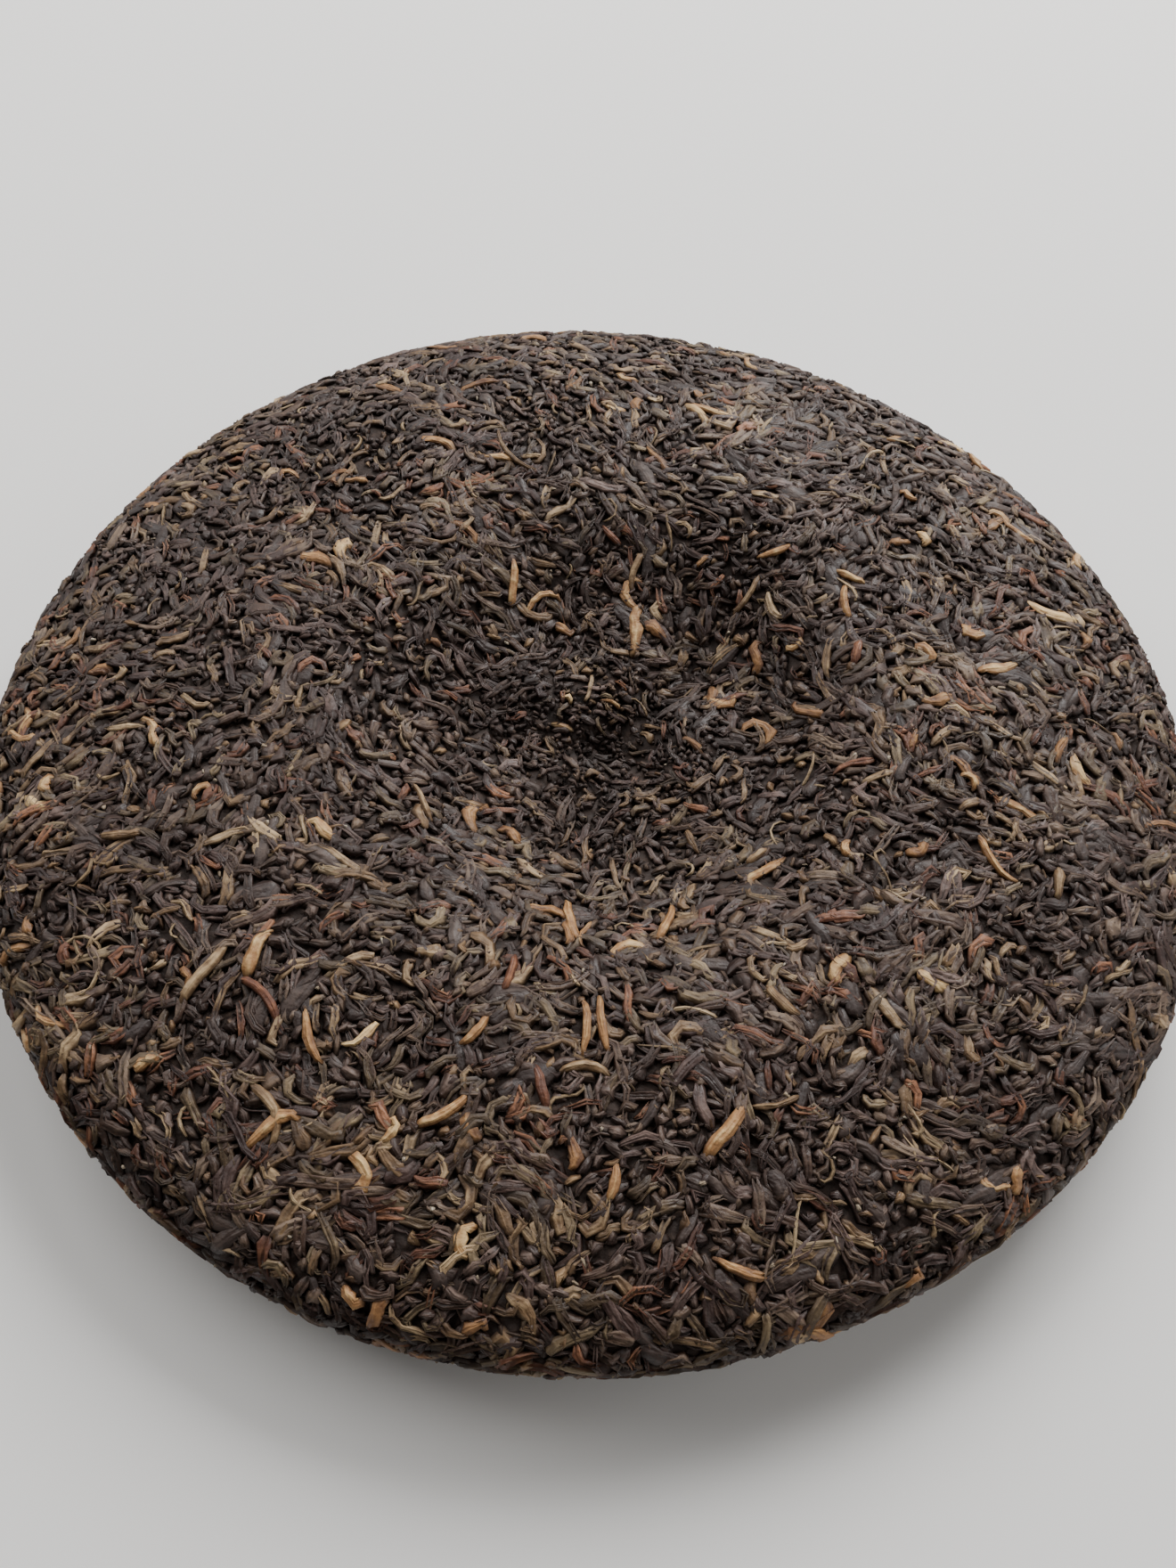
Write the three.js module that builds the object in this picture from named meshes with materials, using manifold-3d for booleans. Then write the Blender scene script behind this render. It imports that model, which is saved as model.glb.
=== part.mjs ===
// A round cake of ripe pu-erh tea, pressed from thousands of small twisted leaves. It lies on its gently domed
// face with the hollow side up: a thick ring slopes down to the hollow that the knot of the pressing bag left,
// and round a blunt rim to the face below. The cake is one solid. Its skin is rough with leaves pressed flat,
// and the largest leaves and buds stand proud of it. The origin is on the table, under the middle of the cake.
import * as THREE from "three";
import { mergeVertices } from "three/addons/utils/BufferGeometryUtils.js";
import Module from "manifold-3d";

const wasm = await Module();
wasm.setup();

// Driving dimensions, in millimetres
const CAKE_DIAMETER = 195;
const CROWN_HEIGHT = 26;
const RIM_HEIGHT = 13.5;
const REST_RADIUS = 36;
const HOLLOW_RADIUS = 35;
const HOLLOW_DEPTH = 11.5;
const PIT_RADIUS = 6;
const PIT_DEPTH = 3.5;
const LEAF_LENGTH = { shortest: 8, longest: 14 };
const LEAF_WIDTH = { narrowest: 2.2, widest: 3.6 };

// Form of the outline: the powers of its two rounded halves, from the rim up and from the rim down
const RIM_RADIUS = CAKE_DIAMETER / 2;
const UPPER_POWER = 3.0;
const FACE_POWER = 2.5;
const FACE_LIFT_AT_REST = (1 - (REST_RADIUS / RIM_RADIUS) ** FACE_POWER) ** (1 / FACE_POWER);
const FACE_DEPTH = RIM_HEIGHT / FACE_LIFT_AT_REST;
const OUTLINE_STEPS = 600;

// The hollow is off the middle, as the knot was, and not quite round
const HOLLOW_CENTRE = { x: 4.5, y: -1.5 };
const HOLLOW_STEEPNESS = 6;
const HOLLOW_STRETCH = 0.04;

// Folds that the gathered cloth pressed round the pit: waves of a few lobes that twist as they go out
const FOLDS = [
  { lobes: 2, depth: 0.8, turn: -1.6 },
  { lobes: 3, depth: 0.6, turn: -2.6 },
  { lobes: 6, depth: 0.5, turn: 0.5 },
];
const FOLD_REACH = 15;
const FOLD_TWIST = 1.2;

// Hand pressing leaves the cake a little out of round and thicker towards one side
const OUT_OF_ROUND = [
  { lobes: 2, depth: 0.004, turn: 0.6 },
  { lobes: 3, depth: 0.003, turn: 2.1 },
  { lobes: 5, depth: 0.0015, turn: 4.0 },
];
const CROWN_LEAN = 0.6;
const CROWN_LEAN_TURN = 2.4;

// Relief of the pressed leaves, and the leaves that stand proud
const SKIN_DETAIL = 12;
const RIDGE_COUNT = 1200;
const RIDGE_LENGTH = { shortest: 8, longest: 14 };
const RIDGE_WIDTH = { narrowest: 3.6, widest: 5.4 };
const RIDGE_LIFT = 1.25;
const SKIN_SINK = 0.75;
const PROUD_COUNT = 240;
const PROUD_THICKNESS = 2.4;
const PROUD_LIFT = 0.45;
const TIP_DIP = 0.9;
const TABLE_GAP = 0.2;
const LEAF_BEND = 0.3;
const LEAF_SIDES = 4;
const LEAF_STEPS = 3;
const RIM_FLOW = { from: 0.75, strength: 0.7 };
const GOLDEN_ANGLE = Math.PI * (3 - Math.sqrt(5));
const RANDOM_SEED = 357;
const MERGE_DISTANCE = 1e-3;
const SLIVER = 0.03;
const LEAF_DRAWS = 4;
const SMALL_STEP = 0.004;

THREE.MathUtils.seededRandom(RANDOM_SEED);
const random = () => THREE.MathUtils.seededRandom();
const between = (low, high) => low + (high - low) * random();

// Radius and height of the outline, from the middle of the lower face (turn 0) round the rim (a quarter turn)
// to the middle of the upper face (half a turn)
function outlinePoint(turn) {
  const upper = turn > Math.PI / 2;
  const power = upper ? UPPER_POWER : FACE_POWER;
  const reach = Math.abs(Math.sin(turn)) ** (2 / power);
  const lift = Math.abs(Math.cos(turn)) ** (2 / power);
  const height = upper
    ? RIM_HEIGHT + (CROWN_HEIGHT - RIM_HEIGHT) * lift
    : Math.max(0, RIM_HEIGHT - FACE_DEPTH * lift);
  return { radius: RIM_RADIUS * reach, height };
}

// The outline with the share of the skin's area below each point, so that the skin can be divided evenly
function measuredOutline() {
  const points = [{ ...outlinePoint(0), area: 0 }];
  for (let i = 1; i <= OUTLINE_STEPS; i++) {
    const before = points[i - 1];
    const point = outlinePoint((Math.PI * i) / OUTLINE_STEPS);
    const step = Math.hypot(point.radius - before.radius, point.height - before.height);
    points.push({ ...point, area: before.area + step * (point.radius + before.radius) });
  }
  const whole = points[OUTLINE_STEPS].area;
  return points.map((point) => ({ ...point, area: point.area / whole }));
}
const outline = measuredOutline();

function outlineAt(share) {
  let low = 0;
  let high = OUTLINE_STEPS;
  while (high - low > 1) {
    const middle = (low + high) >> 1;
    if (outline[middle].area > share) high = middle;
    else low = middle;
  }
  const [a, b] = [outline[low], outline[high]];
  const part = THREE.MathUtils.clamp((share - a.area) / (b.area - a.area || 1), 0, 1);
  return {
    radius: THREE.MathUtils.lerp(a.radius, b.radius, part),
    height: THREE.MathUtils.lerp(a.height, b.height, part),
  };
}

// How far the hollow sinks the upper face: a bowl with a steep wall, a pit where the knot was, and the folds of
// the gathered cloth round it
function hollowDepth(x, y) {
  const dx = x - HOLLOW_CENTRE.x;
  const dy = y - HOLLOW_CENTRE.y;
  const angle = Math.atan2(dy, dx);
  const away = Math.hypot(dx, dy) * (1 + HOLLOW_STRETCH * Math.cos(2 * angle));
  const bowl = HOLLOW_DEPTH / (1 + (away / HOLLOW_RADIUS) ** HOLLOW_STEEPNESS);
  const pit = PIT_DEPTH * Math.exp(-((away / PIT_RADIUS) ** 2));
  const near = away / FOLD_REACH;
  const turned = (fold) => fold.depth * Math.sin(fold.lobes * angle + fold.turn + FOLD_TWIST * near);
  const folds = near ** 2 * Math.exp(1 - near ** 2) * FOLDS.reduce((sum, fold) => sum + turned(fold), 0);
  return bowl + pit + folds;
}

// The point of the bare skin that a direction from the middle of the cake stands for: equal parts of the sphere
// of directions give equal areas of skin
function skinPoint(direction) {
  const { radius, height } = outlineAt((1 + direction.z) / 2);
  const flat = Math.hypot(direction.x, direction.y) || 1;
  const azimuth = Math.atan2(direction.y, direction.x);
  const round = OUT_OF_ROUND.reduce((sum, l) => sum + l.depth * Math.sin(l.lobes * azimuth + l.turn), 1);
  const x = (radius * round * direction.x) / flat;
  const y = (radius * round * direction.y) / flat;
  const raised = Math.max(0, height - RIM_HEIGHT) / (CROWN_HEIGHT - RIM_HEIGHT);
  const lean = CROWN_LEAN * raised * (radius / RIM_RADIUS) * Math.cos(azimuth - CROWN_LEAN_TURN);
  const sunk = raised > 0 ? hollowDepth(x, y) : 0;
  return new THREE.Vector3(x, y, height + lean - sunk);
}

// The skin's frame at a direction: its point, its outward normal, the two ways along the skin, and how far the
// skin goes for a small step of the direction along each
function skinFrame(direction) {
  const point = skinPoint(direction);
  const east = new THREE.Vector3(-direction.y, direction.x, 0);
  if (east.lengthSq() < SMALL_STEP ** 2) east.set(1, 0, 0);
  east.normalize();
  const north = new THREE.Vector3().crossVectors(direction, east).normalize();
  const along = [east, north].map((way) => {
    const ahead = skinPoint(direction.clone().addScaledVector(way, SMALL_STEP).normalize());
    const behind = skinPoint(direction.clone().addScaledVector(way, -SMALL_STEP).normalize());
    return ahead.sub(behind).divideScalar(2 * SMALL_STEP);
  });
  const normal = new THREE.Vector3().crossVectors(along[0], along[1]).normalize();
  return { point, normal, ways: [east, north], along };
}

// Directions spread evenly over the sphere along a golden spiral, each jittered a little
function spreadDirections(count) {
  const jitter = 1 / Math.sqrt(count);
  return Array.from({ length: count }, (_, i) => {
    const z = 1 - (2 * (i + 0.5)) / count;
    const flat = Math.sqrt(1 - z * z);
    const azimuth = i * GOLDEN_ANGLE;
    const moved = new THREE.Vector3(flat * Math.cos(azimuth), flat * Math.sin(azimuth), z);
    moved.x += between(-jitter, jitter);
    moved.y += between(-jitter, jitter);
    moved.z += between(-jitter, jitter);
    return moved.normalize();
  });
}

// Leaves lie any way on the flat of the cake, and more and more along the rim as they near it
function headingAt(point) {
  const nearRim = THREE.MathUtils.smoothstep(Math.hypot(point.x, point.y) / RIM_RADIUS, RIM_FLOW.from, 1);
  return between(-Math.PI / 2, Math.PI / 2) * (1 - RIM_FLOW.strength * nearRim);
}

// Footprints of the pressed leaves, each with its own lift
function pressedRidges() {
  return spreadDirections(RIDGE_COUNT).map((direction) => {
    const { point, normal, along } = skinFrame(direction);
    const heading = along[0].clone().normalize().applyAxisAngle(normal, headingAt(point));
    return {
      point,
      heading,
      side: new THREE.Vector3().crossVectors(normal, heading),
      length: between(RIDGE_LENGTH.shortest, RIDGE_LENGTH.longest),
      width: between(RIDGE_WIDTH.narrowest, RIDGE_WIDTH.widest),
      lift: RIDGE_LIFT * random(),
    };
  });
}

function liftAt(point, ridges) {
  let lift = 0;
  for (const ridge of ridges) {
    const offset = point.clone().sub(ridge.point);
    if (offset.lengthSq() > (ridge.length / 2) ** 2) continue;
    if (Math.abs(offset.dot(ridge.side)) > ridge.width / 2) continue;
    lift = Math.max(lift, ridge.lift);
  }
  return lift;
}

function geometryOf(solid) {
  const { vertProperties, triVerts } = solid.getMesh();
  const geometry = new THREE.BufferGeometry();
  geometry.setAttribute("position", new THREE.BufferAttribute(vertProperties, 3));
  return geometry.setIndex(new THREE.BufferAttribute(triVerts, 1));
}

function weldedSolid(geometry) {
  geometry.deleteAttribute("normal");
  geometry.deleteAttribute("uv");
  const merged = mergeVertices(geometry, MERGE_DISTANCE);
  return new wasm.Manifold(
    new wasm.Mesh({
      numProp: 3,
      vertProperties: merged.attributes.position.array,
      triVerts: new Uint32Array(merged.index.array),
    }),
  );
}

// The cake's body: an even mesh of directions laid on the skin and lifted by the pressed leaves, but flat where
// it rests
function cakeBody() {
  const ridges = pressedRidges();
  const geometry = new THREE.IcosahedronGeometry(1, SKIN_DETAIL);
  const positions = geometry.attributes.position;
  const direction = new THREE.Vector3();
  for (let i = 0; i < positions.count; i++) {
    direction.fromBufferAttribute(positions, i).normalize();
    const { point, normal } = skinFrame(direction);
    const resting = normal.z < 0 && Math.hypot(point.x, point.y) < REST_RADIUS;
    point.addScaledVector(normal, resting ? 0 : liftAt(point, ridges) - SKIN_SINK);
    positions.setXYZ(i, point.x, point.y, resting ? 0 : Math.max(0, point.z));
  }
  return weldedSolid(geometry);
}

// One proud leaf or bud: a flattened spindle, curved sideways and laid along the skin round its middle. Its width
// runs from right to left, so that its faces point outward. On the lower face it is pressed flat just above the
// table.
function proudLeaf(direction) {
  const { point, normal, ways, along } = skinFrame(direction);
  const length = between(LEAF_LENGTH.shortest, LEAF_LENGTH.longest);
  const width = between(LEAF_WIDTH.narrowest, LEAF_WIDTH.widest);
  const bend = between(-LEAF_BEND, LEAF_BEND) * length;
  const heading = headingAt(point);
  const geometry = new THREE.SphereGeometry(0.5, LEAF_SIDES, LEAF_STEPS);
  const positions = geometry.attributes.position;
  for (let i = 0; i < positions.count; i++) {
    const run = positions.getY(i) * length;
    const across = bend * (0.25 - positions.getY(i) ** 2) - positions.getX(i) * width;
    const east = (run * Math.cos(heading) - across * Math.sin(heading)) / along[0].length();
    const north = (run * Math.sin(heading) + across * Math.cos(heading)) / along[1].length();
    const spot = direction.clone().addScaledVector(ways[0], east).addScaledVector(ways[1], north).normalize();
    const under = skinFrame(spot);
    const dip = TIP_DIP * (2 * positions.getY(i)) ** 2;
    under.point.addScaledVector(under.normal, PROUD_LIFT - dip + positions.getZ(i) * PROUD_THICKNESS);
    positions.setXYZ(i, under.point.x, under.point.y, Math.max(TABLE_GAP, under.point.z));
  }
  return weldedSolid(geometry);
}

// Whether a solid's mesh is clean: no face is a mere sliver, and no more than two faces meet in an edge, as they
// do where a leaf only just touches the body
function isClean(solid) {
  const { index, attributes } = mergeVertices(geometryOf(solid), MERGE_DISTANCE);
  const meeting = new Map();
  const corners = [new THREE.Vector3(), new THREE.Vector3(), new THREE.Vector3()];
  for (let face = 0; face < index.count; face += 3) {
    const ids = [index.getX(face), index.getX(face + 1), index.getX(face + 2)];
    corners.forEach((corner, i) => corner.fromBufferAttribute(attributes.position, ids[i]));
    const sides = corners.map((corner, i) => corner.distanceTo(corners[(i + 1) % 3]));
    const area = new THREE.Triangle(...corners).getArea();
    if (2 * area < SLIVER * Math.max(...sides)) return false;
    ids.forEach((id, i) => {
      const ends = [id, ids[(i + 1) % 3]].sort((a, b) => a - b).join();
      meeting.set(ends, (meeting.get(ends) ?? 0) + 1);
    });
  }
  return [...meeting.values()].every((count) => count === 2);
}

// A solid with a leaf fused on, drawn again if the first ones don't fuse cleanly, or without it if none does
function withLeaf(solid, direction) {
  for (let draw = 0; draw < LEAF_DRAWS; draw++) {
    const fused = solid.add(proudLeaf(direction));
    if (isClean(fused)) return fused;
  }
  return solid;
}

// The proud leaves fused to the body, clear of the flat that the cake rests on. The biggest piece is kept, so
// that any loose scrap or sealed hollow goes.
function teaCakeGeometry() {
  let cake = cakeBody();
  for (const direction of spreadDirections(PROUD_COUNT)) {
    const { point, normal } = skinFrame(direction);
    const clearOfTable = normal.z > 0 || Math.hypot(point.x, point.y) > REST_RADIUS + LEAF_LENGTH.longest;
    if (clearOfTable) cake = withLeaf(cake, direction);
  }
  const whole = cake.decompose().reduce((a, b) => (b.volume() > a.volume() ? b : a));
  const geometry = geometryOf(whole);
  geometry.computeVertexNormals();
  return geometry;
}

const darkLeaf = new THREE.MeshStandardMaterial({ color: 0x3a2f29, roughness: 0.75, metalness: 0 });

const teaCake = new THREE.Mesh(teaCakeGeometry(), darkLeaf);
teaCake.name = "tea_cake";

const cake = new THREE.Group();
cake.add(teaCake);

export default cake;
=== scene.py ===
# %% [markdown]
# A cake of pressed pu-erh tea. The leaves are steamed soft, tied up in a cotton bag and pressed under a
# stone, and the bag's knot leaves a hollow in the upper side. This lesson dresses the cake's plain solid:
# a dark core carries thousands of twisted leaves, buds and crumbs, and each of them is a real mesh laid
# on the cake's skin. The solid is loaded first, because it gives the place and the size of everything.

# %% Loading the solid
import math
from collections import namedtuple

import bmesh
import bpy
import numpy as np
from mathutils import Matrix, Vector
from mathutils.kdtree import KDTree


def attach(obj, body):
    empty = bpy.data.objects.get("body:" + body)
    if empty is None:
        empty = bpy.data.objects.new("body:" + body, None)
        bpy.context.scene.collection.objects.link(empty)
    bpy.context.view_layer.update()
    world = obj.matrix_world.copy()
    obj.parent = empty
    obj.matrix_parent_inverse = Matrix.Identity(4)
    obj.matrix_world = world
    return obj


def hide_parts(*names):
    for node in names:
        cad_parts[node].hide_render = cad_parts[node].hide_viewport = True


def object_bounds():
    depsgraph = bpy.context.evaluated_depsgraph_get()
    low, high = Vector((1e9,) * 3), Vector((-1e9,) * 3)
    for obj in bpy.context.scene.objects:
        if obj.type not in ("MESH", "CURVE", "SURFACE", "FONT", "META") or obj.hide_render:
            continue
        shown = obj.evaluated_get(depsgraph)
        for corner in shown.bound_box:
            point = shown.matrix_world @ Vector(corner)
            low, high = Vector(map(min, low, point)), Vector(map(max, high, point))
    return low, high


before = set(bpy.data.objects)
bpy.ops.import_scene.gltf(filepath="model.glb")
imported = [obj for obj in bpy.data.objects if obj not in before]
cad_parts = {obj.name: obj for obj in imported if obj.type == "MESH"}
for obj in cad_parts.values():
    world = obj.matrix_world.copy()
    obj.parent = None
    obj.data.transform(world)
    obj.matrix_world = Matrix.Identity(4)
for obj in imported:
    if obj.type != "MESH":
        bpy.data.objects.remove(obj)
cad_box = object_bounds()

NODE = "tea_cake"
BODY = "root"

# %% [markdown]
# The real cake is a thick ring round the knot's hollow, with a blunt rim and a gently domed face below, a
# little out of round because it was pressed by hand. All pieces need its skin, so the skin is a formula:
# two rounded curves make half of the outline, which turns round the middle. It could also be sampled from
# the solid with a shrinkwrap, but a formula is exact, fast for a million points, and gives a smooth way
# along the skin.

# %% Sizes of the cake, in metres
MM = 0.001
CAKE_RADIUS = 97.5 * MM
CROWN_HEIGHT = 26 * MM
RIM_HEIGHT = 13.5 * MM
REST_RADIUS = 36 * MM
UPPER_POWER = 3.0
FACE_POWER = 2.5
FACE_DEPTH = RIM_HEIGHT / (1 - (REST_RADIUS / CAKE_RADIUS) ** FACE_POWER) ** (1 / FACE_POWER)
OUTLINE_STEPS = 1200
HOLLOW_CENTRE = (4.5 * MM, -1.5 * MM)
HOLLOW_RADIUS = 35 * MM
HOLLOW_DEPTH = 11.5 * MM
HOLLOW_STEEPNESS = 6
HOLLOW_STRETCH = 0.04
PIT_RADIUS = 6 * MM
PIT_DEPTH = 3.5 * MM
FOLDS = [(2, 0.8 * MM, -1.6), (3, 0.6 * MM, -2.6), (6, 0.5 * MM, 0.5)]
FOLD_REACH = 15 * MM
FOLD_TWIST = 1.2
OUT_OF_ROUND = [(2, 0.004, 0.6), (3, 0.003, 2.1), (5, 0.0015, 4.0)]
CROWN_LEAN = 0.6 * MM
CROWN_LEAN_TURN = 2.4


# %% The skin as a formula
def measured_outline():
    """Share of the skin's area below each point of the outline, and the point's radius and height."""
    turn = np.linspace(0, math.pi, OUTLINE_STEPS + 1)
    upper = turn > math.pi / 2
    power = np.where(upper, UPPER_POWER, FACE_POWER)
    reach = np.abs(np.sin(turn)) ** (2 / power)
    lift = np.abs(np.cos(turn)) ** (2 / power)
    above = RIM_HEIGHT + (CROWN_HEIGHT - RIM_HEIGHT) * lift
    below = np.maximum(0, RIM_HEIGHT - FACE_DEPTH * lift)
    height = np.where(upper, above, below)
    radius = CAKE_RADIUS * reach
    step = np.hypot(np.diff(radius), np.diff(height))
    area = np.append(0, np.cumsum(step * (radius[1:] + radius[:-1])))
    return area / area[-1], radius, height


OUTLINE = measured_outline()


def hollow_depth(x, y):
    """How far the knot sank the upper face: a bowl, a pit, and the folds of the gathered cloth."""
    dx, dy = x - HOLLOW_CENTRE[0], y - HOLLOW_CENTRE[1]
    angle = np.arctan2(dy, dx)
    away = np.hypot(dx, dy) * (1 + HOLLOW_STRETCH * np.cos(2 * angle))
    bowl = HOLLOW_DEPTH / (1 + (away / HOLLOW_RADIUS) ** HOLLOW_STEEPNESS)
    pit = PIT_DEPTH * np.exp(-((away / PIT_RADIUS) ** 2))
    near = away / FOLD_REACH
    waves = sum(depth * np.sin(lobes * angle + turn + FOLD_TWIST * near) for lobes, depth, turn in FOLDS)
    return bowl + pit + near**2 * np.exp(1 - near**2) * waves


def skin(directions):
    """The bare skin's point for each direction. Equal solid angles give equal areas of skin."""
    share, radii, heights = OUTLINE
    part = (1 + directions[:, 2]) / 2
    radius = np.interp(part, share, radii)
    height = np.interp(part, share, heights)
    flat = np.maximum(np.hypot(directions[:, 0], directions[:, 1]), 1e-9)
    azimuth = np.arctan2(directions[:, 1], directions[:, 0])
    uneven = 1 + sum(depth * np.sin(lobes * azimuth + turn) for lobes, depth, turn in OUT_OF_ROUND)
    x = radius * uneven * directions[:, 0] / flat
    y = radius * uneven * directions[:, 1] / flat
    raised = np.maximum(0, height - RIM_HEIGHT) / (CROWN_HEIGHT - RIM_HEIGHT)
    lean = CROWN_LEAN * raised * radius / CAKE_RADIUS * np.cos(azimuth - CROWN_LEAN_TURN)
    sunk = np.where(raised > 0, hollow_depth(x, y), 0)
    return np.column_stack((x, y, height + lean - sunk))


def unit(vectors):
    return vectors / np.maximum(np.linalg.norm(vectors, axis=-1, keepdims=True), 1e-12)


SMALL_STEP = 0.004


def skin_frames(directions):
    """The skin's point and normal for each direction, two ways over the sphere and the reach along each."""
    east = np.column_stack((-directions[:, 1], directions[:, 0], np.zeros(len(directions))))
    east[np.linalg.norm(east, axis=1) < SMALL_STEP] = (1, 0, 0)
    east = unit(east)
    north = np.cross(directions, east)
    along = []
    for way in (east, north):
        ahead = skin(unit(directions + SMALL_STEP * way))
        behind = skin(unit(directions - SMALL_STEP * way))
        along.append((ahead - behind) / (2 * SMALL_STEP))
    normal = unit(np.cross(along[0], along[1]))
    return skin(directions), normal, east, north, along[0], along[1]


top = skin(unit(np.array([[x, 0.0, 1.0] for x in np.linspace(-2, 2, 400)])))
crown, pit = top[:, 2].max() / MM, top[:, 2].min() / MM
print("the bare crown is %.2f mm high and the pit is %.2f mm high" % (crown, pit))

# %% [markdown]
# Two helpers for finishes. Shader maths reads best as plain sums and products, so one small class wraps a
# socket and turns Python's operators into Math nodes. The other makes nodes: its method node takes a
# node's type, its settings and what goes into its sockets, and the short ones after it save repeating
# that.


# %% Helpers for finishes
class Value:
    """A number that varies over a surface. Sums and products of it add Math nodes."""

    def __init__(self, finish, socket):
        self.finish = finish
        self.socket = socket

    def joined(self, operation, first, second):
        node = self.finish.node("ShaderNodeMath", {"operation": operation}, {0: first, 1: second})
        return Value(self.finish, node.outputs[0])

    def __add__(self, other):
        return self.joined("ADD", self, other)

    def __sub__(self, other):
        return self.joined("SUBTRACT", self, other)

    def __rsub__(self, other):
        return self.joined("SUBTRACT", other, self)

    def __mul__(self, other):
        return self.joined("MULTIPLY", self, other)


class Finish:
    """A material under construction, with its main shader."""

    def __init__(self, name):
        self.material = bpy.data.materials.new(name)
        self.material.use_nodes = True
        self.tree = self.material.node_tree
        self.shader = self.tree.nodes["Principled BSDF"]

    def node(self, kind, settings, sockets):
        """Adds a node. Settings come first, with a ramp's stops as (place, colour) under "stops"."""
        node = self.tree.nodes.new(kind)
        for name, value in settings.items():
            if name == "stops":
                self.set_stops(node.color_ramp.elements, value)
            else:
                setattr(node, name, value)
        for name, value in sockets.items():
            self.feed(node.inputs[name], value)
        return node

    def set_stops(self, elements, stops):
        while len(elements) < len(stops):
            elements.new(1)
        for element, (place, colour) in zip(elements, stops):
            element.position = place
            element.color = (*colour, 1)

    def feed(self, socket, value):
        """Puts a constant or a link into a socket."""
        if isinstance(value, Value):
            self.tree.links.new(value.socket, socket)
        elif isinstance(value, bpy.types.NodeSocket):
            self.tree.links.new(value, socket)
        else:
            socket.default_value = value

    def attribute(self, name):
        return Value(self, self.node("ShaderNodeAttribute", {"attribute_name": name}, {}).outputs["Fac"])

    def object_place(self):
        return self.node("ShaderNodeTexCoord", {}, {}).outputs["Object"]

    def noise(self, where, scale, detail):
        sockets = {"Vector": where, "Scale": scale, "Detail": detail}
        return Value(self, self.node("ShaderNodeTexNoise", {}, sockets).outputs[0])

    def ramp(self, amount, stops):
        return self.node("ShaderNodeValToRGB", {"stops": stops}, {0: amount}).outputs[0]

    def mix(self, amount, low, high):
        settings = {"data_type": "RGBA", "clamp_factor": True}
        return self.node("ShaderNodeMix", settings, {0: amount, 6: low, 7: high}).outputs[2]

    def relief(self, height, distance):
        sockets = {"Height": height, "Distance": distance, "Strength": 1.0}
        self.feed(self.shader.inputs["Normal"], self.node("ShaderNodeBump", {}, sockets).outputs[0])


def paint(red, green, blue):
    """A colour from a painter's 0 to 255 values, as the linear light that shaders take."""
    return tuple(((v / 255 + 0.055) / 1.055) ** 2.4 for v in (red, green, blue))


# %% [markdown]
# Leaves differ in colour by how the tea aged them: most are a dark grey-brown, some plum or slate, a few
# russet, olive or tan, and the buds are golden. One function makes all these finishes from a kind's three
# colours, which a ramp blends by a shade. The shade adds up the leaf's own tone, so that leaves differ
# even inside a kind, its fine veins, which read the leaf's own map stretched along it, and a fine mottle.
# The veins are partly real streaks and partly a painted highlight on the ridges and painted shade in the
# grooves, because the same noise raises the ridges. The shade is also lower towards the leaf's edges and
# ends, which is painted shade where the leaf turns away and dives under its neighbours. Noise keeps near
# its middle, so a factor and an offset widen it. How deep a corner lies in the cake is an attribute too,
# and the buried parts blend to a dark crevice colour, which is painted shade.

# %% Finishes of the leaves
VEIN_RELIEF = 0.18 * MM
VEINS_ALONG, VEINS_ACROSS, VEINS_APART = 1.8, 3.6, 57
MOTTLE_SCALE = 620.0
# Painted shade: how much darker each leaf is painted towards its ends and its sides.
ALONG_EDGE_SHADE, ACROSS_EDGE_SHADE = 3.0, 4.0
# The veins' share is partly real streaks and partly a painted highlight on the ridges and painted shade in
# the grooves.
TONE_SHARE, VEIN_AND_RIDGE_LIGHT_SHARE, MOTTLE_SHARE, EDGE_SHADE_SHARE = 0.58, 0.34, 0.46, 0.2
SHADE_DROP = 0.13
SHEEN = 0.43
# Painted shade: the colour that the buried parts of the leaves blend to, as the shade in the crevices.
PAINTED_CREVICE_SHADE = paint(40, 25, 18)


def leaf_finish(name, dark, middle, light, roughness=0.58):
    """A leaf's finish from three of a painter's colours."""
    finish = Finish(name)
    tone = finish.attribute("tone")
    depth = finish.attribute("depth")
    place = finish.node("ShaderNodeUVMap", {"uv_map": "leaf"}, {}).outputs[0]
    parts = finish.node("ShaderNodeSeparateXYZ", {}, {0: place}).outputs
    along, across = Value(finish, parts[0]), Value(finish, parts[1])
    stretch = {0: along * VEINS_ALONG, 1: across * VEINS_ACROSS, 2: tone * VEINS_APART}
    stretched = finish.node("ShaderNodeCombineXYZ", {}, stretch).outputs[0]
    veins = finish.noise(stretched, 1.0, 1.0) * 2.2 - 0.6
    mottle = finish.noise(finish.object_place(), MOTTLE_SCALE, 4.0) * 2.6 - 0.8
    aside, onward = across - 0.5, along - 0.5
    # Painted shade: darker towards the leaf's sides and ends, where it turns away and dives under its
    # neighbours.
    painted_edge_shade = aside * aside * ACROSS_EDGE_SHADE + onward * onward * ALONG_EDGE_SHADE
    # Through the veins, this paints highlights on the ridges and shade in the grooves, besides the real
    # streaks.
    shade = tone * TONE_SHARE + veins * VEIN_AND_RIDGE_LIGHT_SHARE + mottle * MOTTLE_SHARE - painted_edge_shade * EDGE_SHADE_SHARE - SHADE_DROP
    stops = [(0.0, paint(*dark)), (0.5, paint(*middle)), (1.0, paint(*light))]
    colour = finish.ramp(shade, stops)
    # By their depth, the buried corners blend to the painted crevice shade.
    finish.feed(finish.shader.inputs["Base Color"], finish.mix(depth, (*PAINTED_CREVICE_SHADE, 1), colour))
    finish.feed(finish.shader.inputs["Roughness"], veins * 0.3 + (roughness - 0.15))
    finish.shader.inputs["Specular IOR Level"].default_value = SHEEN
    finish.relief(veins + mottle * 0.8, VEIN_RELIEF)
    return finish.material


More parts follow.
